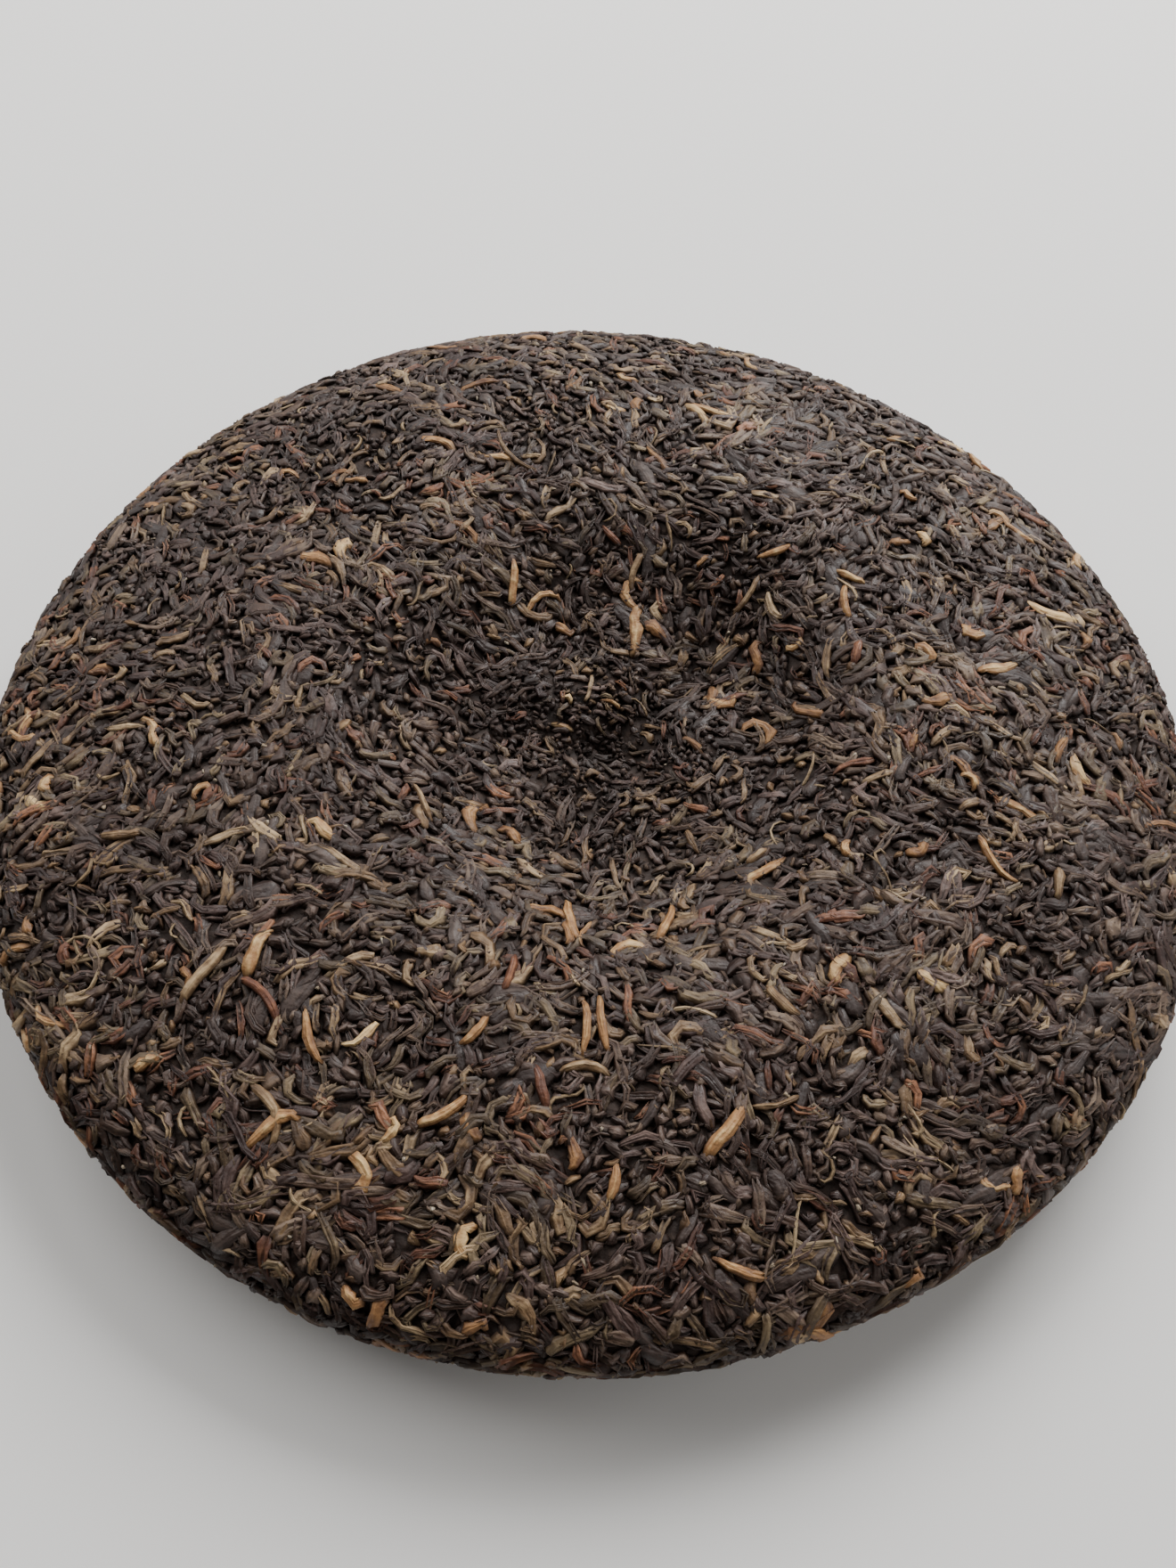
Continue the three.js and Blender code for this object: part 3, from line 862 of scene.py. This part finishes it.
# %% Crumbs and pale flecks
CRUMB = Kind("crumb", (1.0, 2.6), (0.6, 1.4), (0.6, 0.9), STIFF, SUNK, 2.0, LEAF)
FLECK = Kind("crumb", (0.7, 1.8), (0.3, 0.7), (0.4, 0.6), STIFF, (-0.5, -0.3), 2.0, BUD)
CRUMB_COUNT = 5300
HOLLOW_CRUMBS = 900
HOLLOW_AIM = (0.05, -0.02)
HOLLOW_SCATTER = 0.2
FLECK_COUNT = 380


def near_hollow(count):
    """Directions gathered in and round the hollow."""
    places = RANDOM.normal(0, HOLLOW_SCATTER, (count, 2)) + HOLLOW_AIM
    return unit(np.column_stack((places, np.ones(count))))


scattered = np.concatenate((spread(CRUMB_COUNT), near_hollow(HOLLOW_CRUMBS)))
for name, kind, directions in (("crumb", CRUMB, scattered), ("fleck_pale", FLECK, spread(FLECK_COUNT))):
    laid = laying_of(kind, directions)
    add_piece(name, joined_mesh(name, BLANKS[kind.blank], laid), FINISHES[name])
    print(name, len(laid.length), "copies")

# %% [markdown]
# The set is plain: a pale floor, three broad soft lamps and a weak even sky. The strongest lamp stands
# behind and to the right, one behind on the left is half as strong, and a faint one lights the right
# side. The floor and the lights aren't part of the cake.

# %% Floor and light
FLOOR_SIZE = 3.0
FLOOR_COLOUR = paint(245, 243, 240)
FLOOR_ROUGHNESS = 0.8
SKY_COLOUR = (1, 0.98, 0.95, 1)
SKY_STRENGTH = 0.12


def floor_finish():
    finish = Finish("pale floor")
    finish.shader.inputs["Base Color"].default_value = (*FLOOR_COLOUR, 1)
    finish.shader.inputs["Roughness"].default_value = FLOOR_ROUGHNESS
    return finish.material


bm = bmesh.new()
bmesh.ops.create_grid(bm, x_segments=1, y_segments=1, size=FLOOR_SIZE / 2)
floor_mesh = bpy.data.meshes.new("floor")
bm.to_mesh(floor_mesh)
bm.free()
floor = bpy.data.objects.new("floor", floor_mesh)
bpy.context.collection.objects.link(floor)
floor_mesh.materials.append(floor_finish())


def soft_lamp(name, place, size, power):
    """Adds a square lamp that shines at the cake."""
    light = bpy.data.lights.new(name, "AREA")
    light.size = size
    light.energy = power
    lamp = bpy.data.objects.new(name, light)
    bpy.context.collection.objects.link(lamp)
    lamp.location = place
    lamp.rotation_euler = (-Vector(place)).to_track_quat("-Z", "Y").to_euler()


soft_lamp("window", (0.40, 0.95, 0.80), 0.8, 25)
soft_lamp("room", (-0.75, 0.55, 0.8), 1.0, 11)
soft_lamp("side", (1.0, -0.1, 0.5), 0.8, 4)
world = bpy.data.worlds.new("even sky")
world.use_nodes = True
sky = world.node_tree.nodes["Background"].inputs
sky["Color"].default_value = SKY_COLOUR
sky["Strength"].default_value = SKY_STRENGTH
bpy.context.scene.world = world

# %% [markdown]
# The camera stands where the photo was taken: above and in front of the cake, close enough that its sides
# just leave the picture, and turned a little about its own line of sight.

# %% Camera
IMAGE_HEIGHT = 1760
FOCAL_PIXELS = 1450
CAMERA_PLACE = Vector((0, -119 * MM, 192 * MM))
CAMERA_PITCH = math.radians(58.3)
CAMERA_YAW = math.radians(-0.4)
CAMERA_ROLL = math.radians(4.1)
SENSOR = 36

camera_data = bpy.data.cameras.new("camera")
camera_data.sensor_fit = "VERTICAL"
camera_data.sensor_height = SENSOR
camera_data.lens = FOCAL_PIXELS * SENSOR / IMAGE_HEIGHT
camera_data.clip_start = 0.01
camera = bpy.data.objects.new("camera", camera_data)
bpy.context.collection.objects.link(camera)
sight = Vector(
    (
        math.sin(CAMERA_YAW) * math.cos(CAMERA_PITCH),
        math.cos(CAMERA_YAW) * math.cos(CAMERA_PITCH),
        -math.sin(CAMERA_PITCH),
    )
)
right = sight.cross(Vector((0, 0, 1))).normalized()
upright = Matrix((right, right.cross(sight), -sight)).transposed()
turned = upright @ Matrix.Rotation(CAMERA_ROLL, 3, "Z")
camera.matrix_world = Matrix.Translation(CAMERA_PLACE) @ turned.to_4x4()
bpy.context.scene.camera = camera
print("the camera is %.0f mm from the cake's middle" % (CAMERA_PLACE.length / MM))

# %% Updating the scene
bpy.context.view_layer.update()
